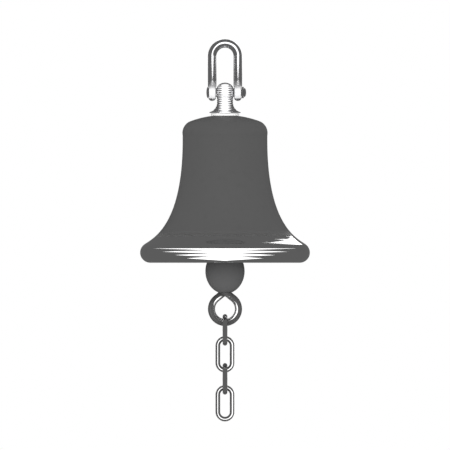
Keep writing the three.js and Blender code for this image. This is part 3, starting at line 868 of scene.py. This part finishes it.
def loop_path():
    """From the front end, over the crossing, round the ring and back over the crossing behind it."""
    start = math.acos(LOOP_RADIUS / (CROSSING_Z - LOOP_Z))
    straight = LOOP_RADIUS * math.tan(start)
    over = 5.0
    lead = over + straight
    round_length = 2 * (math.pi - start) * LOOP_RADIUS
    path = []
    for s in np.linspace(0, lead + round_length / 2, 90):
        t = np.clip((s - over) / (straight + 0.3 * round_length), 0, 1)
        depth = -CROSSING_OFFSET * (1 - t * t * (3 - 2 * t))
        if s < lead:
            past = s - over
            path.append((past * math.cos(start), depth, CROSSING_Z - past * math.sin(start)))
        else:
            angle = start + (s - lead) / LOOP_RADIUS
            path.append((LOOP_RADIUS * math.sin(angle), depth, LOOP_Z + LOOP_RADIUS * math.cos(angle)))
    return path + [(-x, -y, z) for x, y, z in reversed(path[:-1])]


def lanyard_eye():
    """The bent rod, fitted to the underside of the bob, and the spigot that goes up into it."""
    loop = sweep("lanyard_eye_bent", loop_path(), LOOP_ROD_RADIUS, 40)
    egg = arc((0, BOB_Z), BOB_RADIUS + GAP, -90, 90, 72, BOB_HALF_HEIGHT + GAP)
    cut(loop, spin("egg", egg, 96))
    radius, foot, top = 4.0, CROSSING_Z - 3.3, BOB_Z - BOB_HALF_HEIGHT + 15
    outline = rounded([(0, foot), (radius, foot), (radius, top), (0, top)], 1.0)
    spigot = spin("lanyard_eye_spigot", outline, 64)
    for piece in (loop, spigot):
        mark_outward(piece, (0, 0, LOOP_Z), 0, LOOP_RADIUS, LOOP_ROD_RADIUS)
    return [loop, spigot]


# ---- Chain ---------------------------------------------------------------------------------------


def chain_link(number):
    """A closed link of round wire with a faint weld on one side."""
    node = f"chain_link_{number}"
    low, high = box(node)
    centre = (low + high) / 2
    straight = (high - low)[2] / 2 - LINK_BEND_RADIUS - WIRE_RADIUS
    bend = arc((0, straight), LINK_BEND_RADIUS, 0, 180, 39)
    side = [(LINK_BEND_RADIUS, z) for z in np.linspace(-straight, straight, 24, endpoint=False)]
    half = side + bend[:-1]
    outline = half + [(-x, -z) for x, z in half]
    edge_on = (high - low)[0] < (high - low)[1]
    path = [(0, x, z) if edge_on else (x, 0, z) for x, z in outline]
    radii = [WIRE_RADIUS + (0.12 * math.exp(-((z / 1.2) ** 2)) if x > 0 else 0) for x, z in outline]
    wire = sweep(f"{node}_wire", np.array(path) + centre, radii, 32, closed=True)
    return mark_outward(wire, centre, straight, LINK_BEND_RADIUS, WIRE_RADIUS)


# ---- Assembly ------------------------------------------------------------------------------------

finish_piece(shackle_bow(), "shackle_bow")
finish_piece(shackle_pin(), "shackle_pin")
finish_piece(washer("pin_washer_turned", "pin_washer", "X", 4.3), "pin_washer")
finish_piece(hanger_stem(), "hanger_stem")
finish_piece(crown_washer(), "crown_washer")
finish_piece(bell_body(), "bell_body")
finish_piece(washer("inner_washer_flat", "inner_washer", bore=6.4), "inner_washer")
finish_piece(lock_washer(), "lock_washer")
finish_piece(hex_nut("crown_nut_cut", "crown_nut", 19.0, 6.3, 1.75), "crown_nut")
finish_piece(clapper_yoke(), "clapper_yoke")
finish_piece(clapper_pin(), "clapper_pin")
pin_washer_flat = washer("clapper_pin_washer_flat", "clapper_pin_washer", "Y", CLAPPER_BORE, 0.2)
finish_piece(pin_washer_flat, "clapper_pin_washer")
finish_piece(cotter_pin(), "cotter_pin")
for piece in clapper_shank():
    finish_piece(piece, "clapper_shank")
finish_piece(hex_nut("bob_lock_nut_cut", "bob_lock_nut", 13.0, 4.3, 1.25), "bob_lock_nut")
finish_piece(clapper_bob(), "clapper_bob")
for piece in lanyard_eye():
    finish_piece(piece, "lanyard_eye")
for number in range(1, 5):
    finish_piece(chain_link(number), f"chain_link_{number}")

# ---- Studio --------------------------------------------------------------------------------------

FRAME_HEIGHT = 0.5302  # what the camera takes in, top to bottom
CENTRE_Z = -0.2090
FLOOR_DROP = 0.06  # how far the floor lies below the chain
KEY_LIGHT = 1.6  # brighter than white, so that reflections of lamps come out white


def camera():
    """Square on to the front, without perspective."""
    data = bpy.data.cameras.new("camera")
    data.type = "ORTHO"
    data.ortho_scale = FRAME_HEIGHT
    obj = bpy.data.objects.new("camera", data)
    obj.location = (0, -3, CENTRE_Z)
    obj.rotation_euler = (math.pi / 2, 0, 0)
    bpy.context.scene.collection.objects.link(obj)
    bpy.context.scene.camera = obj


def floor():
    """A wide pale floor, which polished metal doesn't mirror."""
    height, reach = (cad_box[0].z - FLOOR_DROP) / MM, 4000
    corners = [(-reach, -reach), (reach, -reach), (reach, reach), (-reach, reach)]
    obj = new_object("floor", [(x, y, height) for x, y in corners], [[0, 1, 2, 3]])
    finish = Finish("floor")
    obj.data.materials.append(finish.set(Base_Color=(0.9, 0.9, 0.9, 1), Roughness=0.9))
    obj.visible_glossy = False


def aim_at_nodes(lamp, nodes):
    """Lets a lamp light only some nodes' pieces, and only as a reflection in them."""
    group = bpy.data.collections.new(f"{lamp.name}_lights")
    for node in nodes:
        for piece in pieces[node]:
            group.objects.link(piece)
    lamp.light_linking.receiver_collection = group
    lamp.visible_camera = False
    lamp.visible_diffuse = False


def panel(name, nodes, place, aim, width, height, radiance, diffuse=False, glossy=True):
    """A soft flat lamp with a given brightness, facing a point, for some nodes only."""
    data = bpy.data.lights.new(name, "AREA")
    data.shape = "RECTANGLE"
    data.size, data.size_y = width, height
    data.energy = radiance * math.pi * width * height
    obj = bpy.data.objects.new(name, data)
    obj.location = place
    obj.rotation_euler = (Vector(aim) - Vector(place)).to_track_quat("-Z", "Y").to_euler()
    bpy.context.scene.collection.objects.link(obj)
    aim_at_nodes(obj, nodes)
    obj.visible_diffuse = diffuse
    obj.visible_glossy = glossy


def upright(name, nodes, low, high, y=-0.5):
    """An upright lamp in front of the bell, or behind it, between two corners (x, z)."""
    place = Vector(((low[0] + high[0]) / 2, y, (low[1] + high[1]) / 2))
    aim = Vector((place.x, 0, place.z))
    panel(name, nodes, place, aim, high[0] - low[0], high[1] - low[1], KEY_LIGHT)


def world():
    """White light and background all round, which polished metal sees as dark grey."""
    made = bpy.data.worlds.new("studio")
    made.use_nodes = True
    made.cycles.sampling_method = "NONE"
    bpy.context.scene.world = made
    tree = made.node_tree
    sky = tree.nodes["Background"]
    sky.inputs["Color"].default_value = (1, 1, 1, 1)
    path = tree.nodes.new("ShaderNodeLightPath")
    white = tree.nodes.new("ShaderNodeMath")
    white.operation = "MAXIMUM"
    strength = tree.nodes.new("ShaderNodeMapRange")
    strength.inputs["To Min"].default_value = STUDIO_DARK
    strength.inputs["To Max"].default_value = 1.0
    tree.links.new(path.outputs["Is Camera Ray"], white.inputs[0])
    tree.links.new(path.outputs["Is Diffuse Ray"], white.inputs[1])
    tree.links.new(white.outputs[0], strength.inputs["Value"])
    tree.links.new(strength.outputs[0], sky.inputs["Strength"])


def bell_mirror(x, z, distance=500):
    """Where the camera's ray goes after it meets the bell's outside at x, z, as in a mirror."""
    profile = np.array(bell_outside())[::-1]
    step = 0.3
    below, radius, above = np.interp((z - step, z, z + step), profile[:, 1], profile[:, 0])
    slope = above - below
    y = -math.sqrt(max(radius**2 - x**2, 0))
    normal = np.array((x / radius, y / radius, -slope / (2 * step)))
    normal /= np.linalg.norm(normal)
    ray = np.array((0, 1, 0))
    bounce = ray - 2 * ray.dot(normal) * normal
    return np.array((x, y, z)) + bounce * distance


def lamp_skin(name):
    """A clear sheet that gives light."""
    made = bpy.data.materials.new(name)
    made.use_nodes = True
    tree = made.node_tree
    tree.nodes.remove(tree.nodes["Principled BSDF"])
    light = tree.nodes.new("ShaderNodeEmission")
    light.inputs["Strength"].default_value = KEY_LIGHT
    both = tree.nodes.new("ShaderNodeAddShader")
    tree.links.new(tree.nodes.new("ShaderNodeBsdfTransparent").outputs[0], both.inputs[0])
    tree.links.new(light.outputs[0], both.inputs[1])
    tree.links.new(both.outputs[0], tree.nodes["Material Output"].inputs[0])
    return made


def glow(name, nodes, streaks):
    """A lamp shaped so that the bell shows it as these streaks, each a list of (x, low z, high z)."""
    rows = 7
    vertices, faces = [], []
    for streak in streaks:
        for i, (x, low, high) in enumerate(streak):
            start = len(vertices)
            vertices += [bell_mirror(x, z) for z in np.linspace(low, high, rows)]
            if i:
                corners = [(k, k + 1, k + 1 - rows, k - rows) for k in range(start, start + rows - 1)]
                faces += [list(c) for c in corners]
    obj = new_object(name, vertices, faces)
    obj.data.materials.append(lamp_skin(name))
    obj.visible_shadow = False
    aim_at_nodes(obj, nodes)


def lip_streaks():
    """Four rows of light that merge in the middle of the lip and run out to points at both sides."""
    # Each row's height, its thickness above and below that, and how far out its points lie.
    rows = [(-236.6, 0, 2.0, 85), (-240.5, 1.9, 1.9, 74), (-244.4, 2.0, 2.0, 59), (-248.2, 1.9, 2.9, 45)]
    full = 14.0  # a row has its whole thickness as far out as this
    for z, above, below, tip in rows:
        streak = []
        for x in np.linspace(-tip, tip, 61):
            share = min(1, (tip - abs(x)) / (tip - full))
            lower_share = 1 - abs(x) / tip if z == rows[-1][0] else share
            streak.append((x, z - below * lower_share, z + above * share))
        yield streak


def flare_streaks():
    """Three wedges of light low on the right of the flare, pointing inward, inside a dark rim."""
    flare = np.array([p for p in bell_outside() if LIP_CENTRE[1] < p[1] < WAIST_TOP_Z])

    def rim(x):
        """Height of the wedges' outer ends, kept inside the silhouette by a margin that grows downward."""
        return np.interp(x + 3.2 + max(0, x - 78) * 0.1, flare[:, 0], flare[:, 1])

    # The tip, then the points which its upper and lower edges run to.
    wedges = [
        ((71.9, -222.5), (78.1, -222.7), (79.8, -223.8)),
        ((58.4, -225.8), (79.8, -225.4), (82.9, -227.2)),
        ((44.0, -229.6), (82.9, -228.9), (91.1, -232.2)),
    ]
    for tip, upper, lower in wedges:
        yield [
            (x, np.interp(x, *zip(tip, lower)), min(rim(x), np.interp(x, *zip(tip, upper))))
            for x in np.linspace(tip[0], lower[0], 60)
        ]


def painted_highlight_fill():
    """Soft light for the pale painted highlights on the steel, which the mirroring steel doesn't show."""
    nodes = ["shackle_bow", "hanger_stem"]
    panel("painted_highlight_fill", nodes, (0, -0.4, -0.05), (0, 0, -0.05), 0.5, 0.3, 1.1, diffuse=True, glossy=False)


def shackle_and_stem_lamps():
    """The line of light along the shackle, front and back, in strips that taper downward, and the stem's."""
    strips = [  # low, high, left, right
        (-0.016, 0.36, -0.16, 0.34),
        (-0.023, -0.016, -0.11, 0.26),
        (-0.030, -0.023, -0.06, 0.18),
        (-0.036, -0.030, 0.0, 0.10),
    ]
    for y in (-0.5, 0.5):
        for low, high, left, right in strips:
            upright("bow_key", ["shackle_bow"], (left, low), (right, high), y)
    upright("stem_key", ["hanger_stem"], (-0.26, -0.60), (0.26, 0.50), y=-0.3)


def bob_and_washer_lamps():
    """Soft light for the dull bob under the mouth, and for the white washer."""
    place, aim = (0, -0.4, -0.32), (0, 0, -0.29)
    panel("bob_fill", ["clapper_bob"], place, aim, 0.5, 0.3, 1.8, diffuse=True, glossy=False)
    panel("washer_fill", ["crown_washer"], (0, -0.4, 0), (0, 0, -0.08), 0.5, 0.3, 3, diffuse=True)


def ring_and_chain_lamps():
    """Lights for the inside of the lanyard eye and for the two links that face the camera."""
    upright("ring_key", ["lanyard_eye"], (-0.90, -0.75), (-0.16, 0.20))
    upright("ring_fill", ["lanyard_eye"], (0.22, -0.75), (0.80, -0.28))
    for y in (-0.5, 0.5):
        upright("link_2", ["chain_link_2"], (-0.20, -0.60), (0.40, -0.20), y)
        upright("link_4", ["chain_link_4"], (-0.20, -0.66), (0.40, -0.26), y)


camera()
floor()
world()
painted_highlight_fill()
shackle_and_stem_lamps()
bob_and_washer_lamps()
ring_and_chain_lamps()
glow("lip_glow", ["bell_body"], lip_streaks())
glow("flare_glow", ["bell_body"], flare_streaks())
bpy.context.scene.view_settings.view_transform = "Standard"
